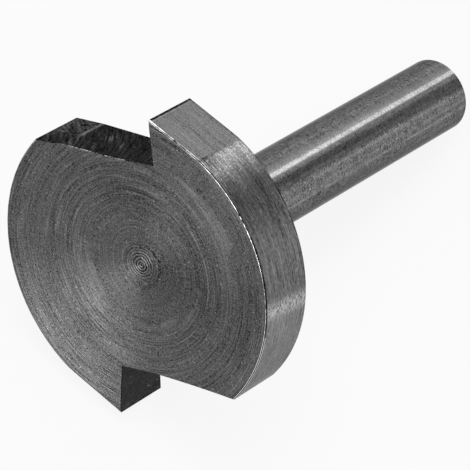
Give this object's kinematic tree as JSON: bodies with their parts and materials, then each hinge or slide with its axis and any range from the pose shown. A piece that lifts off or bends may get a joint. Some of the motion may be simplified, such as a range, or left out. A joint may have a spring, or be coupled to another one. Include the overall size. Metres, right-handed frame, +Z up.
{
  "type": "disc groove cutter",
  "caption": "Round cutting disc with a hollow front face on a long straight shank, and two hooked teeth milled into its rim, for cutting grooves and slots from the side.",
  "frame": {"origin": "on the surface that the tool lies on, at the middle of its overall width and length", "axes": "+Z up from that surface; +Y along the length, from the disc towards the shank's end, which dips below it by the lean of the lying tool; +X to the right as seen from the disc's front"},
  "size_m": [0.032, 0.0558, 0.0323],
  "materials": {
    "tool_steel": "bare tool steel: hollow-turned front face, turned rim, ground flats behind the teeth, darker milled notches and a finely ground shank"
  },
  "bodies": {
    "root": {"cutter_body": "tool_steel"}
  },
  "joints": []
}
